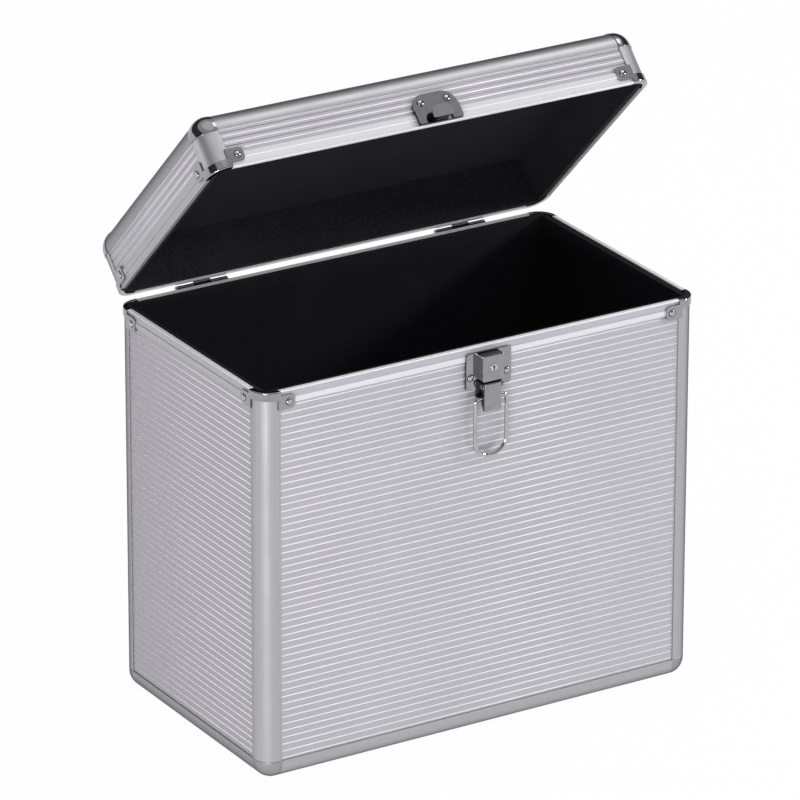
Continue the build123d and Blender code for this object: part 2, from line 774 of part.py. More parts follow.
bail_end = lever_width / 2 - lever_wall - sheet / 2  # where the wire stops inside the lever
with BuildPart() as bail:
    with BuildLine(face_plane(bail_out, bail_level, latch_x)):
        FilletPolyline(
            (-bail_end, 0), (-bail_half, 0), (-bail_half, -bail_reach), (bail_half, -bail_reach),
            (bail_half, 0), (bail_end, 0), radius=(bail_shoulder, bail_turn, bail_turn, bail_shoulder),
        )
    with BuildSketch(Plane((latch_x - bail_end, latch_front - bail_out, bail_level), (0, 0, 1), (-1, 0, 0))):
        Circle(bail_wire)
    sweep()
write(bail.part, "latch_bail")

# ---- keeper on the lid ----
with BuildPart() as keeper:
    with BuildSketch(face_plane(plate_back, lid_bottom, latch_x)) as keeper_outline:
        with Locations((0, (keeper_bottom + keeper_top) / 2)):
            Rectangle(keeper_width, keeper_top - keeper_bottom)
        fillet(keeper_outline.vertices().group_by(Axis.Y)[-1], keeper_top - keeper_shoulder)
    extrude(amount=plate_face - plate_back)
    over_rim(lid_bottom, 1)
    with BuildSketch(face_plane(plate_face, lid_bottom, latch_x)):
        with Locations((0, (keeper_bottom + keeper_shoulder) / 2)):
            with GridLocations(keeper_width - cheek_width, 0, 2, 1):
                RectangleRounded(cheek_width, keeper_shoulder - keeper_bottom, cheek_round)
    extrude(amount=cheek_face - plate_face)
    with BuildSketch(face_plane(plate_face, lid_bottom, latch_x)):
        with Locations((0, hook_bottom + sheet / 2)):
            Rectangle(hook_root, sheet)
    extrude(amount=hook_face - plate_face)
    with BuildSketch(face_plane(hook_face - sheet, lid_bottom, latch_x)) as tongue:
        with Locations((0, (hook_bottom + hook_top) / 2)):
            Rectangle(hook_width, hook_top - hook_bottom)
        fillet(tongue.vertices().group_by(Axis.Y)[-1], hook_round)
        fillet(tongue.vertices().group_by(Axis.Y)[0], sheet)
    extrude(amount=sheet)
    drill(keeper_spots)
write_open(keeper.part, "lid_keeper")
write_open(rivets(keeper_spots, plate_face), "lid_keeper_rivets")

# ---- carrying handle on the lid ----
pivot_height = lid_top - proud + handle_pivot
ear_middle = handle_arm / 2 + ear_gap + ear_thickness / 2


def handle_side(x):
    """Plane across the handle's pivot line: local x goes backward, local y goes up, origin on the pivot."""
    return Plane((x, 0, pivot_height), (0, 1, 0), (1, 0, 0))


with BuildPart() as handle_brackets:
    for side in (-1, 1):
        with BuildSketch(Plane.XY.offset(lid_top - proud + plate_back)):
            with Locations((side * (handle_half + bracket_shift), 0)):
                RectangleRounded(bracket_length, bracket_width, bracket_round)
        extrude(amount=bracket_plate)
        for ear in (-ear_middle, ear_middle):
            with BuildSketch(handle_side(side * handle_half + ear - ear_thickness / 2)):
                Circle(bracket_ear_radius)
                with Locations((0, (plate_back - handle_pivot) / 2)):
                    Rectangle(2 * bracket_ear_radius, handle_pivot - plate_back)
            extrude(amount=ear_thickness)
    with BuildSketch(handle_side(-handle_half - bracket_length)):
        Circle(handle_pin_radius)
    extrude(amount=2 * (handle_half + bracket_length), mode=Mode.SUBTRACT)
    drill(handle_spots)
write_open(handle_brackets.part, "handle_brackets")
write_open(rivets(handle_spots, plate_back + bracket_plate), "handle_rivets")

with BuildPart() as handle_pins:
    for side in (-1, 1):
        pin_run = ear_middle + ear_thickness / 2
        with BuildSketch(handle_side(side * handle_half - pin_run)):
            Circle(handle_pin_radius)
        extrude(amount=2 * pin_run)
write_open(handle_pins.part, "handle_pins")

grip_inner = handle_reach - handle_bar / 2 + grip_overlap
grip_end = handle_half + handle_arm / 2
with BuildPart() as grip:
    with BuildSketch(Plane.XY.offset(pivot_height - handle_thickness / 2)) as grip_outline:
        with Locations((0, handle_reach)):
            Rectangle(2 * grip_end, handle_bar)
        fillet(grip_outline.vertices().group_by(Axis.Y)[-1], handle_arm)
    extrude(amount=handle_thickness)
    fillet(grip.edges().filter_by(Axis.X), grip_round)
    for side in (-1, 1):
        with BuildSketch(handle_side(side * handle_half - handle_arm / 2)):
            Circle(bracket_ear_radius)
            with Locations((grip_inner / 2, 0)):
                Rectangle(grip_inner, 2 * bracket_ear_radius)
        extrude(amount=handle_arm)
    with BuildSketch(handle_side(-2 * handle_half)):
        Circle(handle_pin_radius + pin_clearance)
    extrude(amount=4 * handle_half, mode=Mode.SUBTRACT)
write_open(grip.part, "handle_grip")
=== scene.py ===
import json
from math import radians, tau

import bmesh
import bpy
from mathutils import Matrix, Vector

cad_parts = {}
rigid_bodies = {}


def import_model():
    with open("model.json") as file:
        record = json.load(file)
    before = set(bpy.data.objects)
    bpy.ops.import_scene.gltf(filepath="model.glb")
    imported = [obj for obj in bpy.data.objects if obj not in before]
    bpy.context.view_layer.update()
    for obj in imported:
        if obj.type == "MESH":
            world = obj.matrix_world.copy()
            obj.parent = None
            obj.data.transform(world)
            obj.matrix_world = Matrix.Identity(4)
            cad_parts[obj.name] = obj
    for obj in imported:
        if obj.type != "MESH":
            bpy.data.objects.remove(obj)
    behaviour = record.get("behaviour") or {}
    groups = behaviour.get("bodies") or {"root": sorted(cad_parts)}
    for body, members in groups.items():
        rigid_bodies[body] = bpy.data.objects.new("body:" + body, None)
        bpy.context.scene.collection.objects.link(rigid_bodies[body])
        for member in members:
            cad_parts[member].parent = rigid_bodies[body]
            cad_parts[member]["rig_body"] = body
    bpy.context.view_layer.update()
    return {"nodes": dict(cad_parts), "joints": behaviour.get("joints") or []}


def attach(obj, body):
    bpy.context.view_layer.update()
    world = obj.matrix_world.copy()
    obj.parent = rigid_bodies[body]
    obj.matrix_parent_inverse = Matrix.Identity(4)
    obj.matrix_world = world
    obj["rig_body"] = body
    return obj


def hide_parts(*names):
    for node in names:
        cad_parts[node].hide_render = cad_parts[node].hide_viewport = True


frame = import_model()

mm = 0.001

# ---- driving dimensions, shared with the solids ----
panel_width = 362 * mm
panel_depth = 202 * mm
base_height = 300 * mm
lid_height = 45 * mm
parting_gap = 0.5 * mm
wall = 5 * mm
flange = 14.5 * mm
proud = 0.9 * mm  # how far a profile's flanges stand out of the panels
corner_radius = 13.4 * mm
rim_cap = 4 * mm  # from the rim's edge to the panel's edge
rim_bead = 1.3 * mm
rib_pitch = 5.3 * mm
rib_inset = 0.3 * mm  # from a rib's end to the flange
first_rib_drop = 12.5 * mm  # from the base's upper edge to the front panel's highest rib
side_rib_shift = 2.7 * mm  # the other base panels are cut this much lower
lid_first_rib = 13.8 * mm  # above the lid's lower edge
rivet_radius = 2.4 * mm
rivet_rise = 1.1 * mm
brace_ear_end = 26 * mm  # from the panel's end
brace_ear_radius = 5.4 * mm
brace_ear_drop = 8.6 * mm  # from the rim's edge to the ear's middle

# ---- the finer relief ----
rib_width = 0.95 * mm
rib_rise = 0.32 * mm
rib_sides = 12
lid_lines = 4  # the upper one runs along the profile's edge
# painted shadow: barely raised dark strips midway between the lid's ribs paint the shadow lines there
shadow_line_width = 0.7 * mm
shadow_line_rise = 0.05 * mm
head_segments = 40
head_rings = 20
head_fullness = 0.8  # the power that a dome's height is raised to: below 1 it bulges
# painted shadow: a flat dark disc a little wider than each head paints the shadow ring round it
rivet_shadow_ring = 2.95 * mm
rivet_shadow_ring_rise = 0.14 * mm
ear_squareness = 4
edge_rounding = 0.2 * mm
rim_rounding = 0.25 * mm
soft_rounding = 0.4 * mm  # linings and bottom corner pieces
grip_rounding = 0.5 * mm
brace_roll = 1.0 * mm
plate_roll = 0.4 * mm
box_roll = 0.6 * mm
roll_segments = 5
hook_depth = 0.5 * mm  # how far back from its front the keeper's hook gets the painted highlight

# ---- what follows from them ----
seat = corner_radius - proud  # where the panels end inside a profile
lid_bottom = base_height + parting_gap
lid_top = lid_bottom + lid_height
brace_ear_middle = brace_ear_end - brace_ear_radius

# ---- how the solids are read ----
weld_gap = 0.002 * mm  # points nearer than this are one point
flat_angle = radians(0.6)  # faces that meet at less than this are one face
sharp_angle = radians(35)  # sharper edges are rounded
level_gap = 0.05 * mm  # faces no further back than this count as outermost
recess_nearest = 0.2 * mm  # the band in a rim's outer face stands between these out of the panels
recess_farthest = 0.8 * mm
ear_least_out = 0.5 * mm  # a brace's ears stand further than this out of the panels
ear_slack = 0.1  # share of an ear's radius within which a point lies on its round end

# ---- directions and places ----
along_x = Vector((1, 0, 0))
along_y = Vector((0, 1, 0))
along_z = Vector((0, 0, 1))
front = Vector((0, -1, 0))
unturned = Matrix.Identity(4)

lid_hinge = next(joint for joint in frame["joints"] if joint["name"] == "lid_hinge")
lid_turn = radians(lid_hinge["range_deg"][0])
to_hinge = Matrix.Translation(Vector(lid_hinge["pos_m"]))
opened = to_hinge @ Matrix.Rotation(lid_turn, 4, "X") @ to_hinge.inverted()
closed = opened.inverted()
lid_front = opened.to_3x3() @ front
lid_down = opened.to_3x3() @ -along_z

# Each wall: the direction along it, the direction inward, its outer face's distance and its length.
walls = {
    "front": (Vector((1, 0, 0)), Vector((0, 1, 0)), panel_depth / 2, panel_width),
    "right": (Vector((0, 1, 0)), Vector((-1, 0, 0)), panel_width / 2, panel_depth),
    "rear": (Vector((-1, 0, 0)), Vector((0, -1, 0)), panel_depth / 2, panel_width),
    "left": (Vector((0, -1, 0)), Vector((1, 0, 0)), panel_width / 2, panel_depth),
}


def drawn_along(run):
    """Which of a pair of finishes belongs to a wall: long walls are drawn along x, end walls along y."""
    return "x" if run.x else "y"


# ---- building blocks of a finish ----
noise_low = 0.3  # nearly all values of a noise lie between these two
noise_high = 0.7
mix_first = 6  # places of the Mix node's colour sockets
mix_second = 7
mix_result = 2


def new_finish(name, metallic):
    """Material with a principled shader, and that shader."""
    finish = bpy.data.materials.new(name)
    finish.use_nodes = True
    shader = finish.node_tree.nodes["Principled BSDF"]
    shader.inputs["Metallic"].default_value = metallic
    return finish, shader


def grain(finish, size, turn=0.0, detail=3.0):
    """Noise whose features have this size, or these sizes along the axes, turned about X with the lid."""
    tree = finish.node_tree
    place = tree.nodes.new("ShaderNodeTexCoord")
    mapping = tree.nodes.new("ShaderNodeMapping")
    mapping.vector_type = "TEXTURE"
    mapping.inputs["Rotation"].default_value = (turn, 0, 0)
    mapping.inputs["Scale"].default_value = size if isinstance(size, tuple) else (size, size, size)
    noise = tree.nodes.new("ShaderNodeTexNoise")
    noise.inputs["Scale"].default_value = 1
    noise.inputs["Detail"].default_value = detail
    tree.links.new(place.outputs["Object"], mapping.inputs["Vector"])
    tree.links.new(mapping.outputs["Vector"], noise.inputs["Vector"])
    return noise.outputs["Fac"]


def streak_size(direction, length, width):
    """Size of a streak that runs along a direction."""
    return tuple(length if part else width for part in direction)


def spread(finish, value, low, high, start=noise_low, end=noise_high):
    """The value's span from start to end, taken to low and high."""
    tree = finish.node_tree
    span = tree.nodes.new("ShaderNodeMapRange")
    span.inputs["From Min"].default_value = start
    span.inputs["From Max"].default_value = end
    span.inputs["To Min"].default_value = low
    span.inputs["To Max"].default_value = high
    tree.links.new(value, span.inputs["Value"])
    return span.outputs["Result"]


def mixed(finish, share, first, second):
    """Colour between two, which are colours or sockets; share is a socket."""
    tree = finish.node_tree
    mix = tree.nodes.new("ShaderNodeMix")
    mix.data_type = "RGBA"
    tree.links.new(share, mix.inputs["Factor"])
    for socket, colour in ((mix.inputs[mix_first], first), (mix.inputs[mix_second], second)):
        if isinstance(colour, tuple):
            socket.default_value = (*colour, 1)
        else:
            tree.links.new(colour, socket)
    return mix.outputs[mix_result]


def coated(finish, shader, colour, roughness):
    """Give the shader its colour and roughness, which are sockets."""
    tree = finish.node_tree
    tree.links.new(colour, shader.inputs["Base Color"])
    tree.links.new(roughness, shader.inputs["Roughness"])


def bumped(finish, shader, height, depth, strength):
    """Surface relief this deep from a height."""
    tree = finish.node_tree
    bump = tree.nodes.new("ShaderNodeBump")
    bump.inputs["Strength"].default_value = strength
    bump.inputs["Distance"].default_value = depth
    tree.links.new(height, bump.inputs["Height"])
    tree.links.new(bump.outputs["Normal"], shader.inputs["Normal"])


# ---- kinds of finish: shades are a darker and a lighter colour ----
glancing_tint = (0.08, 0.08, 0.08, 1)  # anodised metal mirrors least where it is seen edge on
faint = 0.3  # strength of a metal's relief


def satin_metal(name, shades, direction, turn=0.0, roughness=(0.34, 0.40), metallic=0.9, specular=0.5):
    """Satin anodised metal: fine drawing lines along one direction, faint clouds and a few dull specks."""
    dark, light = shades
    dull = tuple(part * 0.6 for part in dark)
    cloud_size = 35 * mm
    speck_size = 1.6 * mm
    finish, shader = new_finish(name, metallic)
    shader.inputs["Specular IOR Level"].default_value = specular
    shader.inputs["Specular Tint"].default_value = glancing_tint
    lines = grain(finish, streak_size(direction, length=120 * mm, width=0.3 * mm), turn)
    clouds = grain(finish, cloud_size, turn, detail=2.0)
    specks = grain(finish, speck_size, turn, detail=1.0)
    drawn = mixed(finish, spread(finish, lines, 0, 1), dark, light)
    specked = mixed(finish, spread(finish, specks, 0, 0.5, start=0.68, end=0.8), drawn, dull)
    coated(finish, shader, specked, spread(finish, clouds, *roughness))
    bumped(finish, shader, lines, 0.004 * mm, faint)
    return finish


def foil(name, shades, direction, turn=0.0, metallic=0.5):
    """Silver foil on a panel: satin, with faint drawing lines along the ribs and soft cloudy patches."""
    dark, light = shades
    paler = tuple(min(1, part * 1.08) for part in light)
    cloud_size = 60 * mm
    finish, shader = new_finish(name, metallic)
    lines = grain(finish, streak_size(direction, length=90 * mm, width=0.35 * mm), turn)
    clouds = grain(finish, cloud_size, turn, detail=2.0)
    drawn = mixed(finish, spread(finish, lines, 0, 1), dark, light)
    clouded = mixed(finish, spread(finish, clouds, 0, 0.35), drawn, paler)
    coated(finish, shader, clouded, spread(finish, clouds, 0.38, 0.46))
    bumped(finish, shader, lines, 0.003 * mm, faint)
    return finish


def polished_chrome(name, shades):
    """Chromed steel: mirror-like, with smudges that dull it in patches and hairline scratches."""
    smudge_size = 9 * mm
    hairline_size = (5 * mm, 0.15 * mm, 1.5 * mm)
    hairline_turn = 0.6
    finish, shader = new_finish(name, 1.0)
    smudges = grain(finish, smudge_size)
    hairlines = grain(finish, hairline_size, hairline_turn)
    colour = mixed(finish, spread(finish, smudges, 0, 1), *shades)
    coated(finish, shader, colour, spread(finish, smudges, 0.05, 0.10))
    bumped(finish, shader, hairlines, 0.01 * mm, faint)
    return finish


def nickel(name, shades, roughness, turn=0.0):
    """Nickel-plated pressed steel: satin, slightly mottled, rubbed duller in patches."""
    mottle_size = 6 * mm
    rubbed_size = (12 * mm, 4 * mm, 4 * mm)
    fine_size = 0.3 * mm
    finish, shader = new_finish(name, 1.0)
    mottle = grain(finish, mottle_size, turn)
    rubbed = grain(finish, rubbed_size, turn, detail=2.0)
    fine = grain(finish, fine_size, turn, detail=1.0)
    colour = mixed(finish, spread(finish, mottle, 0, 1), *shades)
    coated(finish, shader, colour, spread(finish, rubbed, *roughness))
    bumped(finish, shader, fine, 0.003 * mm, faint)
    return finish


def felt(name, shades, worn_shade, turn=0.0):
    """Black pressed felt: short fibres, a little lint and worn paler patches."""
    fibre_size = 0.9 * mm
    patch_size = 40 * mm
    finish, shader = new_finish(name, 0.0)
    fibres = grain(finish, fibre_size, turn, detail=4.0)
    patches = grain(finish, patch_size, turn)
    cloth = mixed(finish, spread(finish, fibres, 0, 1, start=0.36, end=0.64), *shades)
    rubbed = mixed(finish, spread(finish, patches, 0, 0.5, start=0.45, end=0.7), cloth, worn_shade)
    coated(finish, shader, rubbed, spread(finish, fibres, 0.85, 1.0))
    shader.inputs["Specular IOR Level"].default_value = 0.08
    shader.inputs["Sheen Weight"].default_value = 0.02
    shader.inputs["Sheen Roughness"].default_value = 0.6
    bumped(finish, shader, fibres, 0.15 * mm, 0.6)
    return finish


def moulded_grip(name, shades):
    """Black moulded plastic with a fine leathery texture, polished a little by hands."""
    texture_size = 0.7 * mm
    handled_size = (25 * mm, 10 * mm, 10 * mm)
    finish, shader = new_finish(name, 0.0)
    texture = grain(finish, texture_size, lid_turn, detail=2.0)
    handled = grain(finish, handled_size, lid_turn, detail=2.0)
    colour = mixed(finish, spread(finish, texture, 0, 1), *shades)
    coated(finish, shader, colour, spread(finish, handled, 0.38, 0.6))
    bumped(finish, shader, texture, 0.08 * mm, 0.5)
    return finish


def pair(make, name, long_shades, end_shades, turn=0.0, **gloss):
    """One finish for the long walls, drawn along x, and one for the end walls, drawn along y."""
    return {
        "x": make(name + "_x", long_shades, along_x, turn, **gloss),
        "y": make(name + "_y", end_shades, along_y, turn, **gloss),
    }


# ---- shades ----
profile_shades = (0.40, 0.395, 0.42), (0.47, 0.465, 0.49)
# painted light: the lid's upright profiles are painted lighter than the same profiles on the base
lid_upright_painted_light_shades = (0.52, 0.515, 0.54), (0.60, 0.595, 0.62)
bottom_corner_shades = (0.31, 0.305, 0.33), (0.37, 0.365, 0.39)
rim_shades = (0.66, 0.655, 0.70), (0.74, 0.735, 0.78)
# painted shade: the end walls' rim is painted darker than the long walls' rim, as those walls face away
# from the light
shaded_end_rim_shades = (0.44, 0.435, 0.46), (0.50, 0.495, 0.52)
# painted shade: the recess band in the base rim's outer face is painted darker than the rim
painted_shade_recess_shades = (0.44, 0.43, 0.475), (0.50, 0.49, 0.54)
# painted highlight: the rims' upward faces are painted near white where they catch the light
painted_highlight_bead_shades = (0.86, 0.855, 0.88), (0.92, 0.915, 0.94)
lid_rim_shades = (0.58, 0.575, 0.61), (0.66, 0.655, 0.69)
# painted shade: the lid's end rims are painted darker than its long rims
lid_shaded_end_rim_shades = (0.42, 0.415, 0.44), (0.47, 0.465, 0.49)
# painted light: the lid rim's recess band is painted lighter than the rim around it
lid_painted_light_recess_shades = (0.66, 0.655, 0.69), (0.66, 0.655, 0.70)
# painted shade: the recess band is painted darker on the lid's end walls
lid_shaded_end_recess_shades = (0.47, 0.465, 0.49), (0.44, 0.435, 0.46)
# painted shade: the free edge of the lid's end rims is painted dark grey
free_edge_painted_shade_shades = (0.21, 0.21, 0.22), (0.25, 0.25, 0.26)
foil_shades = (0.42, 0.405, 0.45), (0.47, 0.455, 0.50)
# painted shade: the end walls' foil is painted darker than the long walls' foil
shaded_end_foil_shades = (0.36, 0.345, 0.385), (0.405, 0.39, 0.43)
# painted highlight: the ribs are painted much lighter than the foil around them, as their tops catch the
# light; lighter still on the lid
painted_highlight_crest_shades = (0.72, 0.71, 0.75), (0.80, 0.79, 0.83)
lid_painted_highlight_crest_shades = (0.80, 0.79, 0.83), (0.88, 0.87, 0.91)
# painted shade: the rib highlights are painted darker on the lid's end walls
lid_shaded_end_crest_shades = (0.62, 0.61, 0.65), (0.70, 0.69, 0.73)
# painted shadow: dark tones for the lines between the lid's ribs, fainter on the end walls
painted_shadow_line_shades = (0.25, 0.245, 0.27), (0.30, 0.295, 0.32)
end_painted_shadow_line_shades = (0.34, 0.335, 0.36), (0.39, 0.385, 0.41)
chrome_shades = (0.30, 0.30, 0.33), (0.35, 0.35, 0.38)
# painted shade: near-black tones for edges, tops and rivet rings that lie in shade or mirror dark
# surroundings
painted_shade_nickel_shades = (0.05, 0.05, 0.055), (0.08, 0.08, 0.085)
pressed_shades = (0.28, 0.28, 0.305), (0.32, 0.32, 0.345)
lid_pressed_shades = (0.27, 0.27, 0.29), (0.31, 0.31, 0.33)
# painted highlight: the keeper's hook is painted lighter than the plate around it
hook_painted_highlight_shades = (0.33, 0.33, 0.35), (0.37, 0.37, 0.39)
wire_shades = (0.40, 0.40, 0.42), (0.48, 0.48, 0.50)
rivet_shades = (0.38, 0.38, 0.40), (0.46, 0.46, 0.48)
plug_shades = (0.50, 0.48, 0.42), (0.66, 0.64, 0.58)
felt_shades = (0.002, 0.002, 0.003), (0.024, 0.024, 0.031)
worn_felt_shade = (0.018, 0.018, 0.022)
grip_shades = (0.016, 0.016, 0.018), (0.034, 0.034, 0.037)

# ---- how metallic a finish is, and its roughness from its smoothest patches to its dullest ----
rim_gloss = 0.3
bead_gloss = 0.1
crest_gloss = 0.12
upright_roughness = (0.30, 0.36)
polished = (0.05, 0.1)
bright = (0.06, 0.12)
worn = (0.12, 0.24)
dulled = (0.2, 0.35)

# ---- finishes of the base ----
profile = pair(satin_metal, "satin_profile", profile_shades, profile_shades)
upright_profile = satin_metal("satin_profile_z", profile_shades, along_z, roughness=upright_roughness)
bottom_corner = satin_metal("bottom_corner", bottom_corner_shades, along_z)
rim = pair(satin_metal, "bright_rim", rim_shades, shaded_end_rim_shades, metallic=rim_gloss)
# painted shade in the recess of the base rims
painted_shade_recess = pair(satin_metal, "rim_recess", painted_shade_recess_shades, painted_shade_recess_shades, metallic=rim_gloss)
# painted highlight on the base rims' upward faces
painted_highlight_bead = pair(satin_metal, "bright_bead", painted_highlight_bead_shades, painted_highlight_bead_shades, metallic=bead_gloss)
panel_foil = pair(foil, "foil", foil_shades, shaded_end_foil_shades)
# painted highlight on the ribs of the base
painted_highlight_crest = pair(foil, "foil_crest", painted_highlight_crest_shades, painted_highlight_crest_shades, metallic=crest_gloss)
chrome = polished_chrome("brace_chrome", chrome_shades)
# painted shade: near-black nickel that paints shade and dark reflections on edges, tops and round rivet
# heads
painted_shade_nickel = nickel("painted_shade_edge", painted_shade_nickel_shades, dulled)
pressed = nickel("pressed_nickel", pressed_shades, polished)
wire = nickel("wire_nickel", wire_shades, bright)
rivet_finish = nickel("rivet_nickel", rivet_shades, polished)
plug_finish = nickel("plug_worn_nickel", plug_shades, worn)
lining_felt = felt("lining_felt", felt_shades, worn_felt_shade)

# ---- finishes of the lid ----
lid_profile = pair(satin_metal, "lid_profile", profile_shades, profile_shades, lid_turn)
# painted light on the lid's upright profiles
lid_upright_painted_light = satin_metal("lid_profile_z", lid_upright_painted_light_shades, along_z, lid_turn)
lid_rim = pair(satin_metal, "lid_rim", lid_rim_shades, lid_shaded_end_rim_shades, lid_turn, metallic=rim_gloss)
# painted light on the recess band of the lid rims
lid_painted_light_recess = pair(satin_metal, "lid_rim_recess", lid_painted_light_recess_shades, lid_shaded_end_recess_shades, lid_turn,
                  metallic=rim_gloss)
# painted highlight on the long lid rims' faces that look down when the lid is closed
lid_painted_highlight_bead = satin_metal("lid_bead_painted_highlight_x", painted_highlight_bead_shades, along_x, lid_turn, metallic=bead_gloss)
# painted shade on the free edge of the lid's end rims
lid_free_edge_painted_shade = satin_metal("lid_free_edge_painted_shade", free_edge_painted_shade_shades, along_y, lid_turn, metallic=0, specular=0.1)
lid_foil = pair(foil, "lid_foil", foil_shades, foil_shades, lid_turn)
# painted highlight on the ribs of the lid
lid_painted_highlight_crest = pair(foil, "lid_foil_crest", lid_painted_highlight_crest_shades, lid_shaded_end_crest_shades, lid_turn,
                 metallic=crest_gloss)
# painted shadow lines between the lid's ribs
lid_groove = pair(foil, "lid_groove", painted_shadow_line_shades, end_painted_shadow_line_shades, lid_turn)
# painted shade: the same near-black nickel for the lid's parts
lid_painted_shade_nickel = nickel("lid_painted_shade_edge", painted_shade_nickel_shades, dulled, lid_turn)
lid_pressed = nickel("lid_pressed_nickel", lid_pressed_shades, bright, lid_turn)
# painted highlight on the keeper's hook
lid_hook_painted_highlight = nickel("lid_hook_painted_highlight", hook_painted_highlight_shades, bright, lid_turn)
lid_lining_felt = felt("lid_lining_felt", felt_shades, worn_felt_shade, lid_turn)
grip_plastic = moulded_grip("grip_plastic", grip_shades)


# ---- pieces ----
def linked(name, mesh):
    """Object that shows a mesh."""
    piece = bpy.data.objects.new(name, mesh)
    bpy.context.scene.collection.objects.link(piece)
    return piece


def settle(piece):
    """Keep what the modifiers make as a plain mesh."""
    graph = bpy.context.evaluated_depsgraph_get()
    mesh = bpy.data.meshes.new_from_object(piece.evaluated_get(graph))
    piece.modifiers.clear()
    piece.data = mesh
    mesh.name = piece.name


def stand_in(piece, node):
    """Let a finished piece take the place of a node: it moves with the node's body, and the node is hidden.
    """
    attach(piece, frame["nodes"][node]["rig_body"])
    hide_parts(node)


def merge(piece, *others):
    """Join other pieces to a piece, with their finishes."""
    shape = bmesh.new()
    finishes = []
    for part in (piece, *others):
        first_face = len(shape.faces)
        shape.from_mesh(part.data)
        shape.faces.ensure_lookup_table()
        for face in shape.faces[first_face:]:
            finish = part.data.materials[face.material_index]
            if finish not in finishes:
                finishes.append(finish)
            face.material_index = finishes.index(finish)
    mesh = bpy.data.meshes.new(piece.name)
    shape.to_mesh(mesh)
    shape.free()
    for finish in finishes:
        mesh.materials.append(finish)
    piece.data = mesh
    for part in others:
        bpy.data.objects.remove(part)


# ---- pieces read from the solids: welded, edges rounded, smoothly shaded ----
def welded(node):
    """A node's loose triangles, joined where they meet."""
    shape = bmesh.new()
    shape.from_mesh(frame["nodes"][node].data)
    bmesh.ops.remove_doubles(shape, verts=shape.verts, dist=weld_gap)
    return shape


def roll_edges(shape, way, width):
    """Round the outer edges of the outermost faces that look this way."""
    square_on = 0.99
    turned_away = 0.5
    top = max(point.co.dot(way) for point in shape.verts)
    middle = sum((point.co for point in shape.verts), Vector()) / len(shape.verts)
    rolled = set()
    for face in shape.faces:
        if face.normal.dot(way) < square_on or face.calc_center_median().dot(way) < top - level_gap:
            continue
        for edge in face.edges:
            sides = [other.normal for other in edge.link_faces if other is not face]
            if len(sides) != 1 or not edge.is_convex:
                continue
            outside = (edge.verts[0].co + edge.verts[1].co) / 2 - middle
            if sides[0].dot(way) < turned_away and sides[0].dot(outside) > 0:
                rolled.add(edge)
    bmesh.ops.bevel(shape, geom=list(rolled), offset=width, segments=roll_segments, profile=0.5,
                    affect="EDGES", clamp_overlap=True)


def squared(share):
    """How many times further out a round end's point lies once the end is square with small corners."""
    return (abs(share.x) ** ear_squareness + abs(share.y) ** ear_squareness) ** (-1 / ear_squareness)


def square_ears(shape, edge, into, back=unturned):
    """Turn the round ends of a brace's ears square; back takes a point to the closed case."""
    forth = back.inverted()
    nearest = (1 - ear_slack) * brace_ear_radius
    farthest = (1 + ear_slack) * brace_ear_radius
    for point in shape.verts:
        place = back @ point.co
        rise = place.z - (edge + into * brace_ear_drop)
        for run, inward, distance, length in walls.values():
            past = length / 2 - brace_ear_middle - abs(place.dot(run))
            out = -place.dot(inward) - distance
            reach = Vector((past, rise)).length
            if past > 0 and out > ear_least_out and nearest < reach < farthest:
                further = squared(Vector((past, rise)) / reach) - 1
                place.z += rise * further
                place -= run * (past * further) * (1 if place.dot(run) > 0 else -1)
                point.co = forth @ place
                break


def rounded(node, finish, rounding=edge_rounding, rolled=None, reshape=None):
    """A solid's own shape with its loose triangles welded into faces and its sharp edges broken."""
    shape = welded(node)
    bmesh.ops.dissolve_limit(shape, angle_limit=flat_angle, verts=shape.verts, edges=shape.edges)
    if reshape:
        reshape(shape)
    if rolled:
        roll_edges(shape, *rolled)
    mesh = bpy.data.meshes.new(node + "_finished")
    shape.to_mesh(mesh)
    shape.free()
    mesh.materials.append(finish)
    for face in mesh.polygons:
        face.material_index = 0
        face.use_smooth = True
    piece = linked(node + "_finished", mesh)
    bevel = piece.modifiers.new("broken edges", "BEVEL")
    bevel.width = rounding
    bevel.segments = 2
    bevel.limit_method = "ANGLE"
    bevel.angle_limit = sharp_angle
    weighted = piece.modifiers.new("flat faces stay flat", "WEIGHTED_NORMAL")
    weighted.mode = "FACE_AREA"
    weighted.weight = 80
    settle(piece)
    stand_in(piece, node)
    return piece


def shade(piece, finish, chosen):
    """Give the chosen faces their own finish."""
    piece.data.materials.append(finish)
    last = len(piece.data.materials) - 1
    for face in piece.data.polygons:
        if chosen(face):
            face.material_index = last


def towards(way, least):
    """Chooses the faces that look this way: least is the cosine of the widest angle from it."""
    return lambda face: face.normal.dot(way) > least


def away_from(way, most):
    """Chooses the faces that look aside or back: most is the cosine of the narrowest angle from the way."""
    return lambda face: face.normal.dot(way) < most


def in_recess(side, back=unturned):
    """Chooses the band that lies a little back in a rim's outer face; back takes it to the closed case."""
    run, inward, distance, length = walls[side]

    def chosen(face):
        middle = back @ face.center
        out = -middle.dot(inward) - distance
        return recess_nearest < out < recess_farthest and abs(middle.dot(run)) < length / 2 - seat
    return chosen


def on_bead(face):
    """Chooses the top of a base rim, down to the lower side of its bead: the upward faces that get the
    painted highlight.
    """
    looks_up = 0.2
    return face.normal.z > looks_up and face.center.z > base_height - rim_bead


# ---- node groups ----
def new_group(name, inputs):
    """Geometry node group with these named inputs, and its input and output nodes."""
    tree = bpy.data.node_groups.new(name, "GeometryNodeTree")
    for socket, kind in inputs.items():
        tree.interface.new_socket(socket, in_out="INPUT", socket_type=kind)
    tree.interface.new_socket("Geometry", in_out="OUTPUT", socket_type="NodeSocketGeometry")
    return tree, tree.nodes.new("NodeGroupInput"), tree.nodes.new("NodeGroupOutput")


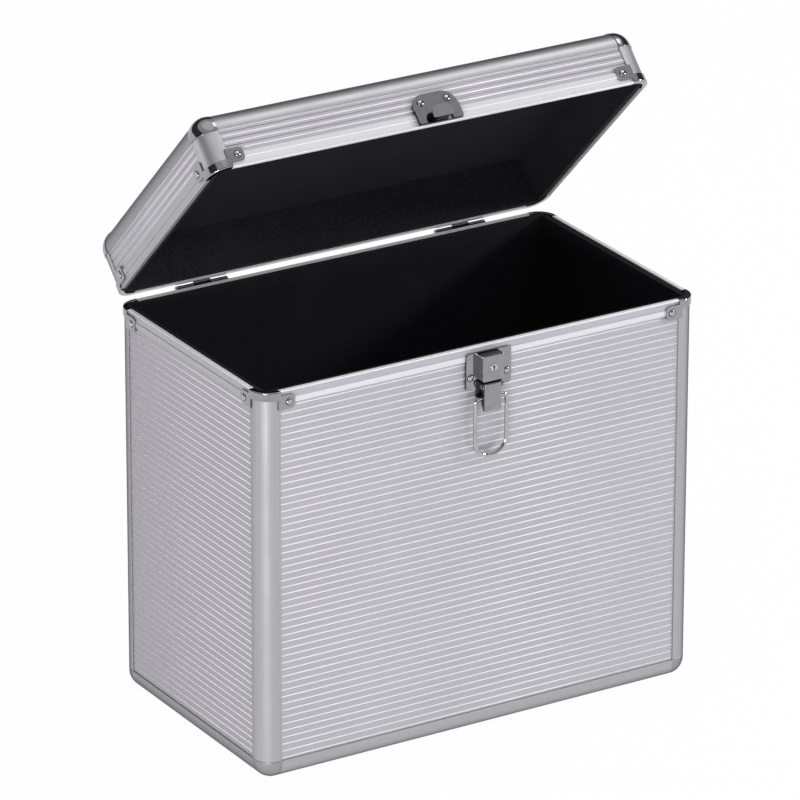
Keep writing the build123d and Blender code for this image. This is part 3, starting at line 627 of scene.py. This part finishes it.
def finish_group(tree, source, finish_socket, end):
    """Shade the instances smooth, realize them and give them their finish."""
    smooth = tree.nodes.new("GeometryNodeSetShadeSmooth")
    realize = tree.nodes.new("GeometryNodeRealizeInstances")
    finish = tree.nodes.new("GeometryNodeSetMaterial")
    tree.links.new(source, smooth.inputs["Geometry"])
    tree.links.new(smooth.outputs["Geometry"], realize.inputs["Geometry"])
    tree.links.new(realize.outputs["Geometry"], finish.inputs["Geometry"])
    tree.links.new(finish_socket, finish.inputs["Material"])
    tree.links.new(finish.outputs["Geometry"], end.inputs["Geometry"])


def rib_group():
    """Half-round ribs one above the other on a panel's face: each is an oval bar sunk to its middle."""
    tree, start, end = new_group("panel_ribs", {
        "Length": "NodeSocketFloat",
        "Pitch": "NodeSocketFloat",
        "Count": "NodeSocketInt",
        "Lowest": "NodeSocketFloat",
        "Half Width": "NodeSocketFloat",
        "Rise": "NodeSocketFloat",
        "Finish": "NodeSocketMaterial",
    })
    lowest = tree.nodes.new("ShaderNodeCombineXYZ")
    step = tree.nodes.new("ShaderNodeCombineXYZ")
    heights = tree.nodes.new("GeometryNodeMeshLine")
    bar = tree.nodes.new("GeometryNodeMeshCylinder")
    bar.inputs["Vertices"].default_value = rib_sides
    bar.inputs["Radius"].default_value = 1
    oval = tree.nodes.new("ShaderNodeCombineXYZ")
    oval.inputs["Z"].default_value = 1
    lay = tree.nodes.new("GeometryNodeTransform")
    lay.inputs["Rotation"].default_value = (0, tau / 4, 0)
    ribs = tree.nodes.new("GeometryNodeInstanceOnPoints")
    tree.links.new(start.outputs["Lowest"], lowest.inputs["Z"])
    tree.links.new(start.outputs["Pitch"], step.inputs["Z"])
    tree.links.new(start.outputs["Count"], heights.inputs["Count"])
    tree.links.new(lowest.outputs["Vector"], heights.inputs["Start Location"])
    tree.links.new(step.outputs["Vector"], heights.inputs["Offset"])
    tree.links.new(start.outputs["Length"], bar.inputs["Depth"])
    tree.links.new(start.outputs["Half Width"], oval.inputs["X"])
    tree.links.new(start.outputs["Rise"], oval.inputs["Y"])
    tree.links.new(bar.outputs["Mesh"], lay.inputs["Geometry"])
    tree.links.new(oval.outputs["Vector"], lay.inputs["Scale"])
    tree.links.new(heights.outputs["Mesh"], ribs.inputs["Points"])
    tree.links.new(lay.outputs["Geometry"], ribs.inputs["Instance"])
    finish_group(tree, ribs.outputs["Instances"], start.outputs["Finish"], end)
    return tree


def rivet_group():
    """Domed rivet heads on the carrier's points, each facing along the point's "outward" vector."""
    tree, start, end = new_group("domed_rivets", {
        "Points": "NodeSocketGeometry",
        "Head Radius": "NodeSocketFloat",
        "Rise": "NodeSocketFloat",
        "Finish": "NodeSocketMaterial",
    })
    ball = tree.nodes.new("GeometryNodeMeshUVSphere")
    ball.inputs["Segments"].default_value = head_segments
    ball.inputs["Rings"].default_value = head_rings
    ball.inputs["Radius"].default_value = 1
    place = tree.nodes.new("GeometryNodeInputPosition")
    parts = tree.nodes.new("ShaderNodeSeparateXYZ")
    upper = tree.nodes.new("ShaderNodeMath")
    upper.operation = "MAXIMUM"
    upper.inputs[1].default_value = 0
    fuller = tree.nodes.new("ShaderNodeMath")
    fuller.operation = "POWER"
    fuller.inputs[1].default_value = head_fullness
    dome = tree.nodes.new("ShaderNodeCombineXYZ")
    cut = tree.nodes.new("GeometryNodeSetPosition")
    size = tree.nodes.new("ShaderNodeCombineXYZ")
    head = tree.nodes.new("GeometryNodeTransform")
    outward = tree.nodes.new("GeometryNodeInputNamedAttribute")
    outward.data_type = "FLOAT_VECTOR"
    outward.inputs["Name"].default_value = "outward"
    facing = tree.nodes.new("FunctionNodeAlignRotationToVector")
    facing.axis = "Z"
    heads = tree.nodes.new("GeometryNodeInstanceOnPoints")
    tree.links.new(place.outputs["Position"], parts.inputs["Vector"])
    tree.links.new(parts.outputs["Z"], upper.inputs[0])
    tree.links.new(upper.outputs["Value"], fuller.inputs[0])
    tree.links.new(parts.outputs["X"], dome.inputs["X"])
    tree.links.new(parts.outputs["Y"], dome.inputs["Y"])
    tree.links.new(fuller.outputs["Value"], dome.inputs["Z"])
    tree.links.new(ball.outputs["Mesh"], cut.inputs["Geometry"])
    tree.links.new(dome.outputs["Vector"], cut.inputs["Position"])
    tree.links.new(start.outputs["Head Radius"], size.inputs["X"])
    tree.links.new(start.outputs["Head Radius"], size.inputs["Y"])
    tree.links.new(start.outputs["Rise"], size.inputs["Z"])
    tree.links.new(cut.outputs["Geometry"], head.inputs["Geometry"])
    tree.links.new(size.outputs["Vector"], head.inputs["Scale"])
    tree.links.new(outward.outputs["Attribute"], facing.inputs["Vector"])
    tree.links.new(start.outputs["Points"], heads.inputs["Points"])
    tree.links.new(head.outputs["Geometry"], heads.inputs["Instance"])
    tree.links.new(facing.outputs["Rotation"], heads.inputs["Rotation"])
    finish_group(tree, heads.outputs["Instances"], start.outputs["Finish"], end)
    return tree


def grown(name, tree, carrier, values):
    """Piece that a node group grows from a carrier mesh, kept as a plain mesh."""
    piece = linked(name, carrier)
    growth = piece.modifiers.new("growth", "NODES")
    growth.node_group = tree
    for socket in tree.interface.items_tree:
        if socket.name in values:
            growth[socket.identifier] = values[socket.name]
    settle(piece)
    return piece


# ---- panels: a slab and its ribs ----
panel_ribs = rib_group()


def slab(name, width, low, high, finish):
    """Plain board in a panel's own axes: its outer face is y = 0, and it reaches inward."""
    shape = bmesh.new()
    bmesh.ops.create_cube(shape, size=1)
    scale = Matrix.Diagonal((width, wall, high - low, 1))
    shape.transform(Matrix.Translation((0, wall / 2, (high + low) / 2)) @ scale)
    mesh = bpy.data.meshes.new(name)
    shape.to_mesh(mesh)
    shape.free()
    mesh.materials.append(finish)
    return linked(name, mesh)


def bars(name, length, lowest, count, width, rise, finish):
    """Half-round bars one rib pitch apart, upward from the lowest."""
    return grown(name, panel_ribs, bpy.data.meshes.new(name), {
        "Length": length,
        "Pitch": rib_pitch,
        "Count": count,
        "Lowest": lowest,
        "Half Width": width / 2,
        "Rise": rise,
        "Finish": finish,
    })


def panel(node, place, length, low, high, lowest, count, finish, crest_highlight_finish, shadow_line_finish=None):
    """A ribbed panel on a wall this long: ribs from the lowest up in a lighter finish that paints their
    highlight, and in the lid dark strips between them that paint the shadow lines.
    """
    rib_length = length - 2 * (flange + rib_inset)
    lines = []
    if shadow_line_finish:
        lines.append(bars(node + "_painted_shadow_lines", rib_length, lowest + rib_pitch / 2, count - 1,
                          shadow_line_width, shadow_line_rise, shadow_line_finish))
    board = slab(node + "_ribbed", length - 2 * seat, low, high, finish)
    lines.append(bars(node + "_ribs", rib_length, lowest, count, rib_width, rib_rise, crest_highlight_finish))
    for part in (board, *lines):
        part.data.transform(place)
    merge(board, *lines)
    stand_in(board, node)


def wall_place(side):
    """Matrix from a panel's own axes (along the wall, inward, up) to the case."""
    run, inward, distance, length = walls[side]
    place = Matrix((run, inward, along_z)).transposed().to_4x4()
    place.translation = inward * -distance
    return place


def base_panel(side, length, way):
    """A wall panel of the base: its ribs are counted down from the rim to the bottom profile."""
    shift = 0 if side == "front" else side_rib_shift
    highest = base_height - first_rib_drop - shift
    lowest_allowed = proud + flange + rib_width
    count = int((highest - lowest_allowed) / rib_pitch) + 1
    lowest = highest - rib_pitch * (count - 1)
    panel(f"base_panel_{side}", wall_place(side), length, proud + seat, base_height - rim_cap,
          lowest, count, panel_foil[way], painted_highlight_crest[way])


def lid_panel(side, length, way):
    """A side panel of the lid."""
    panel(f"lid_panel_{side}", opened @ wall_place(side), length,
          lid_bottom + rim_cap, lid_top - proud - seat, lid_bottom + lid_first_rib, lid_lines,
          lid_foil[way], lid_painted_highlight_crest[way], lid_groove[way])


def roof_panel():
    """The lid's top: its ribs run along x and lie evenly about the middle."""
    place = Matrix((along_x, -along_z, along_y)).transposed().to_4x4()
    place.translation = (0, 0, lid_top - proud)
    ribbed_depth = panel_depth - 2 * (flange + rib_inset) - rib_pitch
    count = int(ribbed_depth / rib_pitch) + 1
    lowest = -rib_pitch * (count - 1) / 2
    reach = panel_depth / 2 - seat
    panel("lid_panel_top", opened @ place, panel_width, -reach, reach, lowest, count,
          lid_foil["x"], lid_painted_highlight_crest["x"], lid_groove["x"])


for side, (run, inward, distance, length) in walls.items():
    base_panel(side, length, drawn_along(run))
    lid_panel(side, length, drawn_along(run))
roof_panel()


# ---- rivets ----
domed_rivets = rivet_group()


def islands(node):
    """The separate solids of a node, each as a list of its points."""
    shape = welded(node)
    left = set(shape.verts)
    found = []
    while left:
        reached = [left.pop()]
        solid = []
        while reached:
            point = reached.pop()
            solid.append(point.co.copy())
            for edge in point.link_edges:
                other = edge.other_vert(point)
                if other in left:
                    left.remove(other)
                    reached.append(other)
        found.append(solid)
    shape.free()
    return found


def rivet_heads(node, lid):
    """Where each rivet's head starts and which way it faces, read from the solids of the node."""
    back = closed if lid else unturned
    forth = opened if lid else unturned
    centre = Vector((0, 0, lid_bottom if lid else 0))
    places = []
    for solid in islands(node):
        points = [back @ point for point in solid]
        low = Vector(min(point[axis] for point in points) for axis in range(3))
        high = Vector(max(point[axis] for point in points) for axis in range(3))
        size = high - low
        axis = max(range(3), key=lambda index: size[index])
        middle = (low + high) / 2
        outward = Vector((0, 0, 0))
        outward[axis] = 1 if middle[axis] > centre[axis] else -1
        tip = middle.copy()
        tip[axis] = high[axis] if outward[axis] > 0 else low[axis]
        places.append((forth @ (tip - outward * rivet_rise), forth.to_3x3() @ outward))
    return places


def rivets(node, lid=False):
    """Domed heads, each on a flat near-black disc that paints the shadow ring round it, in place of a
    node's rivets.
    """
    places = rivet_heads(node, lid)
    carrier = bpy.data.meshes.new(node + "_domed")
    carrier.from_pydata([place for place, outward in places], [], [])
    facing = carrier.attributes.new("outward", "FLOAT_VECTOR", "POINT")
    for index, (place, outward) in enumerate(places):
        facing.data[index].vector = outward
    # painted shadow ring: a thin dark disc under each head
    shadow_rings = grown(node + "_shadow_rings", domed_rivets, carrier.copy(), {
        "Head Radius": rivet_shadow_ring,
        "Rise": rivet_shadow_ring_rise,
        "Finish": lid_painted_shade_nickel if lid else painted_shade_nickel,
    })
    piece = grown(node + "_domed", domed_rivets, carrier, {
        "Head Radius": rivet_radius,
        "Rise": rivet_rise,
        "Finish": rivet_finish,
    })
    merge(piece, shadow_rings)
    stand_in(piece, node)


for node in ("base_brace_rivets", "hinge_base_rivets", "latch_rivets"):
    rivets(node)
for node in ("lid_brace_rivets", "hinge_lid_rivets", "lid_keeper_rivets", "handle_rivets"):
    rivets(node, lid=True)


# ---- profiles and rims ----
def finish_edges(side, way):
    """Bottom edge profile of the base and top edge profile of the lid along one wall."""
    rounded(f"base_edge_{side}", profile[way])
    rounded(f"lid_edge_{side}", lid_profile[way])


def finish_base_rim(side, way):
    """Rim of the base: the recess in its outer face is painted darker as shade, and its upward faces are
    painted brighter as a highlight.
    """
    piece = rounded(f"base_rim_{side}", rim[way], rim_rounding)
    # painted shade in the recess
    shade(piece, painted_shade_recess[way], in_recess(side))
    # painted highlight on the upward faces
    shade(piece, painted_highlight_bead[way], on_bead)


def finish_lid_rim(side, way):
    """Rim of the lid: its recess band painted lighter than the rim, and below it a painted highlight on the
    long walls and painted shade on the free edge of the others.
    """
    piece = rounded(f"lid_rim_{side}", lid_rim[way], rim_rounding)
    # painted light on the recess band
    shade(piece, lid_painted_light_recess[way], in_recess(side, closed))
    if way == "x":
        # painted highlight on the faces that look down when the lid is closed
        shade(piece, lid_painted_highlight_bead, towards(lid_down, least=0.2))
    else:
        # painted shade on the free edge of the end rims
        shade(piece, lid_free_edge_painted_shade, towards(lid_down, least=0.9))


# ---- corners and fittings ----
def finish_corners():
    """Upright profiles, bottom corner pieces, top caps and the riveted braces of the rims."""
    for corner in ("front_left", "front_right", "rear_right", "rear_left"):
        rounded(f"base_corner_{corner}", upright_profile)
    rounded("lid_corner_profiles", lid_upright_painted_light)
    rounded("base_bottom_corners", bottom_corner, soft_rounding)
    rounded("lid_top_caps", chrome)
    rounded("base_braces", chrome, rolled=(along_z, brace_roll),
            reshape=lambda shape: square_ears(shape, base_height, -1))
    rounded("lid_braces", chrome, rolled=(lid_down, brace_roll),
            reshape=lambda shape: square_ears(shape, lid_bottom, 1, closed))


def finish_latch():
    """Plate, lever pin, lock box, key plug, lever and bail: the plate's and lever's edges and the lock
    box's top get a near-black finish, painted shade and painted dark reflection.
    """
    plate = rounded("latch_plate", pressed, rolled=(front, plate_roll))
    # painted shade and painted dark reflection on the plate's edges
    shade(plate, painted_shade_nickel, away_from(front, most=0.4))
    rounded("latch_lever_pin", wire)
    box = rounded("latch_lock_box", pressed, rolled=(front, box_roll))
    # painted dark reflection on the lock box's top
    shade(box, painted_shade_nickel, towards(along_z, least=0.8))
    rounded("latch_key_plug", plug_finish)
    lever = rounded("latch_lever", pressed, rolled=(front, plate_roll))
    # painted shade on the lever's sides
    shade(lever, painted_shade_nickel, away_from(front, most=0.2))
    rounded("latch_bail", wire)


def finish_keeper():
    """Keeper on the lid: its hook stands foremost and is painted brighter as a highlight; its edges get
    painted shade.
    """
    keeper = rounded("lid_keeper", lid_pressed, rolled=(lid_front, plate_roll))
    foremost = max(face.center.dot(lid_front) for face in keeper.data.polygons)
    # painted highlight on the hook's foremost faces
    shade(keeper, lid_hook_painted_highlight, lambda face: face.center.dot(lid_front) > foremost - hook_depth)
    # painted shade on the keeper's edges
    shade(keeper, lid_painted_shade_nickel, away_from(lid_front, most=0.3))


def finish_handle():
    """Brackets, pins and the folding grip."""
    rounded("handle_brackets", lid_pressed)
    rounded("handle_pins", wire)
    rounded("handle_grip", grip_plastic, grip_rounding)


def finish_hinges():
    """Pins, and on each hinge a leaf on the base and one on the lid."""
    rounded("hinge_pins", wire)
    for side in ("left", "right"):
        rounded(f"hinge_{side}_base_leaf", pressed)
        rounded(f"hinge_{side}_lid_leaf", lid_pressed)


def finish_linings_and_bottom():
    """Linings of both halves, and the plain bottom panel, which only takes its finish."""
    rounded("base_lining", lining_felt, soft_rounding)
    rounded("lid_lining", lid_lining_felt, soft_rounding)
    for slot in frame["nodes"]["base_panel_bottom"].material_slots:
        slot.material = panel_foil["x"]


for side, (run, inward, distance, length) in walls.items():
    finish_edges(side, drawn_along(run))
    finish_base_rim(side, drawn_along(run))
    finish_lid_rim(side, drawn_along(run))
finish_corners()
finish_latch()
finish_keeper()
finish_handle()
finish_hinges()
finish_linings_and_bottom()


# ---- floor, world, lamps and camera ----
def shown_share(tree):
    """1 for rays from the camera, from gloss and through glass, 0 for the rest."""
    path = tree.nodes.new("ShaderNodeLightPath")
    either = tree.nodes.new("ShaderNodeMath")
    either.operation = "MAXIMUM"
    all_three = tree.nodes.new("ShaderNodeMath")
    all_three.operation = "MAXIMUM"
    tree.links.new(path.outputs["Is Camera Ray"], either.inputs[0])
    tree.links.new(path.outputs["Is Glossy Ray"], either.inputs[1])
    tree.links.new(either.outputs["Value"], all_three.inputs[0])
    tree.links.new(path.outputs["Is Transmission Ray"], all_three.inputs[1])
    return all_three.outputs["Value"]


def make_floor():
    """Pale studio floor that stays white to the camera and keeps a soft shadow."""
    reach = 14
    paleness = 0.92
    roughness = 0.9
    own_light = 0.97  # share of the floor's shown colour that doesn't depend on the lamps
    mesh = bpy.data.meshes.new("floor")
    corners = [(-reach, -reach, 0), (reach, -reach, 0), (reach, reach, 0), (-reach, reach, 0)]
    mesh.from_pydata(corners, [], [(0, 1, 2, 3)])
    paint = bpy.data.materials.new("floor_paint")
    paint.use_nodes = True
    tree = paint.node_tree
    matte = tree.nodes["Principled BSDF"]
    matte.inputs["Base Color"].default_value = (paleness, paleness, paleness, 1)
    matte.inputs["Roughness"].default_value = roughness
    glow = tree.nodes.new("ShaderNodeEmission")
    share = tree.nodes.new("ShaderNodeMath")
    share.operation = "MULTIPLY"
    share.inputs[1].default_value = own_light
    mix = tree.nodes.new("ShaderNodeMixShader")
    tree.links.new(shown_share(tree), share.inputs[0])
    tree.links.new(share.outputs["Value"], mix.inputs["Fac"])
    tree.links.new(matte.outputs["BSDF"], mix.inputs[1])
    tree.links.new(glow.outputs["Emission"], mix.inputs[2])
    tree.links.new(mix.outputs["Shader"], tree.nodes["Material Output"].inputs["Surface"])
    mesh.materials.append(paint)
    linked("floor", mesh)


def grey_ramp(tree, value, first, last, *between):
    """Greys by a value: each stop is a value and its grey."""
    node = tree.nodes.new("ShaderNodeValToRGB")
    stops = node.color_ramp.elements
    stops[0].position, grey = first
    stops[0].color = (grey, grey, grey, 1)
    stops[1].position, grey = last
    stops[1].color = (grey, grey, grey, 1)
    for position, grey in between:
        stops.new(position).color = (grey, grey, grey, 1)
    tree.links.new(value, node.inputs["Fac"])
    return node.outputs["Color"]


def make_world():
    """Soft surroundings: white up to the horizon and overhead, a dark band between for metal to mirror."""
    world = bpy.data.worlds.new("studio")
    bpy.context.scene.world = world
    world.use_nodes = True
    tree = world.node_tree
    direction = tree.nodes.new("ShaderNodeTexCoord")
    parts = tree.nodes.new("ShaderNodeSeparateXYZ")
    tree.links.new(direction.outputs["Generated"], parts.inputs["Vector"])
    height = parts.outputs["Z"]
    shown = grey_ramp(tree, height, (0.10, 1), (0.92, 1),
                      (0.16, 0.06), (0.62, 0.06), (0.72, 0.6), (0.86, 0.6))
    lighting = grey_ramp(tree, height, (0.1, 0.32), (0.9, 0.8))
    mix = tree.nodes.new("ShaderNodeMix")
    mix.data_type = "RGBA"
    tree.links.new(shown_share(tree), mix.inputs["Factor"])
    tree.links.new(lighting, mix.inputs[mix_first])
    tree.links.new(shown, mix.inputs[mix_second])
    tree.links.new(mix.outputs[mix_result], tree.nodes["Background"].inputs["Color"])


def softbox(name, place, width, height, power):
    """Area lamp that faces the case."""
    case_middle = Vector((0, 0, 0.2))
    lamp = bpy.data.lights.new(name, "AREA")
    lamp.shape = "RECTANGLE"
    lamp.size = width
    lamp.size_y = height
    lamp.energy = power
    holder = bpy.data.objects.new(name, lamp)
    bpy.context.scene.collection.objects.link(holder)
    aim = case_middle - Vector(place)
    holder.location = place
    holder.rotation_euler = aim.to_track_quat("-Z", "Y").to_euler()
    holder.visible_camera = False


def make_camera():
    """Camera fitted to the case: a long lens from the front left, looking down."""
    right = Vector((0.8530478, -0.52182835, 0.00215057))
    up = Vector((0.19818866, 0.32779158, 0.92372828))
    place = Vector((-2.466115, -4.013155, 2.174825))
    sensor_width = 36  # in millimetres, as the lens is
    focal_length = 317.286
    farthest_seen = 50
    turn = Matrix((right, up, right.cross(up))).transposed().to_4x4()
    turn.translation = place
    lens = bpy.data.cameras.new("view")
    lens.sensor_width = sensor_width
    lens.sensor_fit = "HORIZONTAL"
    lens.lens = focal_length
    lens.clip_end = farthest_seen
    holder = bpy.data.objects.new("view", lens)
    bpy.context.scene.collection.objects.link(holder)
    holder.matrix_world = turn
    bpy.context.scene.camera = holder


make_floor()
make_world()
softbox("front low", place=(-2.35, -2.2, 0.25), width=1.1, height=0.5, power=46)
softbox("overhead", place=(1.45, -0.12, 2.85), width=1.2, height=1.0, power=8)
softbox("side", place=(3.0, -1.5, 1.6), width=0.6, height=0.6, power=58)
make_camera()
bpy.context.scene.view_settings.view_transform = "Standard"
